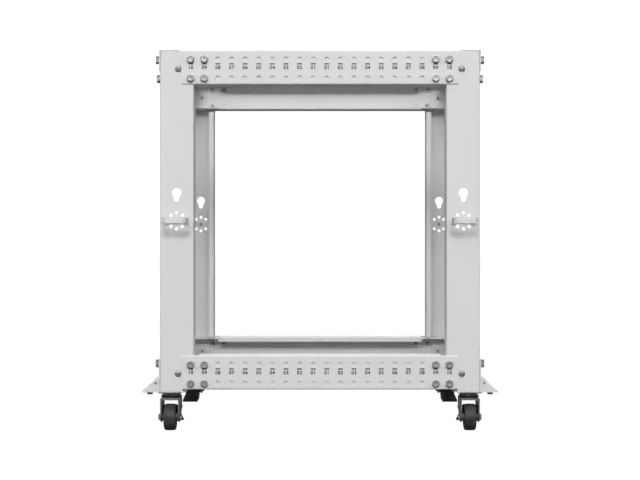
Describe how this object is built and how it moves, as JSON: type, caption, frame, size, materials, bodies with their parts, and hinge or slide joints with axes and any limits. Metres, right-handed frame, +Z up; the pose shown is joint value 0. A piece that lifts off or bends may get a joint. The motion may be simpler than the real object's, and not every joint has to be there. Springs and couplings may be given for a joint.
{
  "type": "open frame server rack",
  "caption": "Open-frame 12-unit equipment rack with four folded posts, bolted adjustable side rails, cable rings and braked swivel casters.",
  "frame": {"origin": "on the floor under the middle of the rack", "axes": "+X to the rear along the rack's depth, +Y to the left across its width, +Z up"},
  "size_m": [0.666, 0.63, 0.7135],
  "materials": {
    "powder_coat": "fine texture powder coat",
    "fastener_zinc": "zinc plated",
    "caster_zinc": "dull zinc plated",
    "tyre_rubber": "matte",
    "hub_plastic": "satin",
    "pedal_plastic": "satin"
  },
  "bodies": {
    "rack": {"cable_ring_front_left": "powder_coat", "cable_ring_front_right": "powder_coat", "cable_ring_rear_left": "powder_coat", "cable_ring_rear_right": "powder_coat", "caster_bolts": "fastener_zinc", "caster_plate_front_left": "caster_zinc", "caster_plate_front_right": "caster_zinc", "caster_plate_rear_left": "caster_zinc", "caster_plate_rear_right": "caster_zinc", "corner_screws": "fastener_zinc", "cross_rail_bottom_front": "powder_coat", "cross_rail_bottom_rear": "powder_coat", "cross_rail_top_front": "powder_coat", "cross_rail_top_rear": "powder_coat", "inner_rail_bottom_front_left": "powder_coat", "inner_rail_bottom_front_right": "powder_coat", "inner_rail_bottom_rear_left": "powder_coat", "inner_rail_bottom_rear_right": "powder_coat", "inner_rail_top_front_left": "powder_coat", "inner_rail_top_front_right": "powder_coat", "inner_rail_top_rear_left": "powder_coat", "inner_rail_top_rear_right": "powder_coat", "outrigger_bolts": "fastener_zinc", "outrigger_front_left": "powder_coat", "outrigger_front_right": "powder_coat", "outrigger_rear_left": "powder_coat", "outrigger_rear_right": "powder_coat", "post_end_bolts": "fastener_zinc", "post_front_left": "powder_coat", "post_front_right": "powder_coat", "post_rear_left": "powder_coat", "post_rear_right": "powder_coat", "ring_screws": "fastener_zinc", "side_rail_bolts": "fastener_zinc", "side_rail_bottom_left": "powder_coat", "side_rail_bottom_right": "powder_coat", "side_rail_nuts": "fastener_zinc", "side_rail_top_left": "powder_coat", "side_rail_top_right": "powder_coat"},
    "fork_front_right": {"caster_fork_front_right": "caster_zinc", "caster_axle_front_right": "fastener_zinc"},
    "wheel_front_right": {"caster_hub_front_right": "hub_plastic", "caster_tyre_front_right": "tyre_rubber"},
    "brake_front_right": {"caster_brake_front_right": "pedal_plastic"},
    "fork_rear_right": {"caster_fork_rear_right": "caster_zinc", "caster_axle_rear_right": "fastener_zinc"},
    "wheel_rear_right": {"caster_hub_rear_right": "hub_plastic", "caster_tyre_rear_right": "tyre_rubber"},
    "brake_rear_right": {"caster_brake_rear_right": "pedal_plastic"},
    "fork_front_left": {"caster_fork_front_left": "caster_zinc", "caster_axle_front_left": "fastener_zinc"},
    "wheel_front_left": {"caster_hub_front_left": "hub_plastic", "caster_tyre_front_left": "tyre_rubber"},
    "brake_front_left": {"caster_brake_front_left": "pedal_plastic"},
    "fork_rear_left": {"caster_fork_rear_left": "caster_zinc", "caster_axle_rear_left": "fastener_zinc"},
    "wheel_rear_left": {"caster_hub_rear_left": "hub_plastic", "caster_tyre_rear_left": "tyre_rubber"},
    "brake_rear_left": {"caster_brake_rear_left": "pedal_plastic"}
  },
  "joints": [
    {"name": "swivel_front_right", "type": "hinge", "parent": "rack", "child": "fork_front_right", "pos_m": [-0.2815, -0.225, 0.0595], "axis": [0, 0, 1], "continuous": true},
    {"name": "wheel_spin_front_right", "type": "hinge", "parent": "fork_front_right", "child": "wheel_front_right", "pos_m": [-0.2815, -0.245, 0.025], "axis": [1, 0, 0], "continuous": true},
    {"name": "brake_pedal_front_right", "type": "hinge", "parent": "fork_front_right", "child": "brake_front_right", "pos_m": [-0.2815, -0.212, 0.041], "axis": [1, 0, 0], "range_deg": [0, 20]},
    {"name": "swivel_rear_right", "type": "hinge", "parent": "rack", "child": "fork_rear_right", "pos_m": [0.2815, -0.225, 0.0595], "axis": [0, 0, 1], "continuous": true},
    {"name": "wheel_spin_rear_right", "type": "hinge", "parent": "fork_rear_right", "child": "wheel_rear_right", "pos_m": [0.2815, -0.245, 0.025], "axis": [1, 0, 0], "continuous": true},
    {"name": "brake_pedal_rear_right", "type": "hinge", "parent": "fork_rear_right", "child": "brake_rear_right", "pos_m": [0.2815, -0.212, 0.041], "axis": [1, 0, 0], "range_deg": [0, 20]},
    {"name": "swivel_front_left", "type": "hinge", "parent": "rack", "child": "fork_front_left", "pos_m": [-0.2815, 0.225, 0.0595], "axis": [0, 0, 1], "continuous": true},
    {"name": "wheel_spin_front_left", "type": "hinge", "parent": "fork_front_left", "child": "wheel_front_left", "pos_m": [-0.2815, 0.245, 0.025], "axis": [1, 0, 0], "continuous": true},
    {"name": "brake_pedal_front_left", "type": "hinge", "parent": "fork_front_left", "child": "brake_front_left", "pos_m": [-0.2815, 0.212, 0.041], "axis": [-1, 0, 0], "range_deg": [0, 20]},
    {"name": "swivel_rear_left", "type": "hinge", "parent": "rack", "child": "fork_rear_left", "pos_m": [0.2815, 0.225, 0.0595], "axis": [0, 0, 1], "continuous": true},
    {"name": "wheel_spin_rear_left", "type": "hinge", "parent": "fork_rear_left", "child": "wheel_rear_left", "pos_m": [0.2815, 0.245, 0.025], "axis": [1, 0, 0], "continuous": true},
    {"name": "brake_pedal_rear_left", "type": "hinge", "parent": "fork_rear_left", "child": "brake_rear_left", "pos_m": [0.2815, 0.212, 0.041], "axis": [-1, 0, 0], "range_deg": [0, 20]}
  ]
}
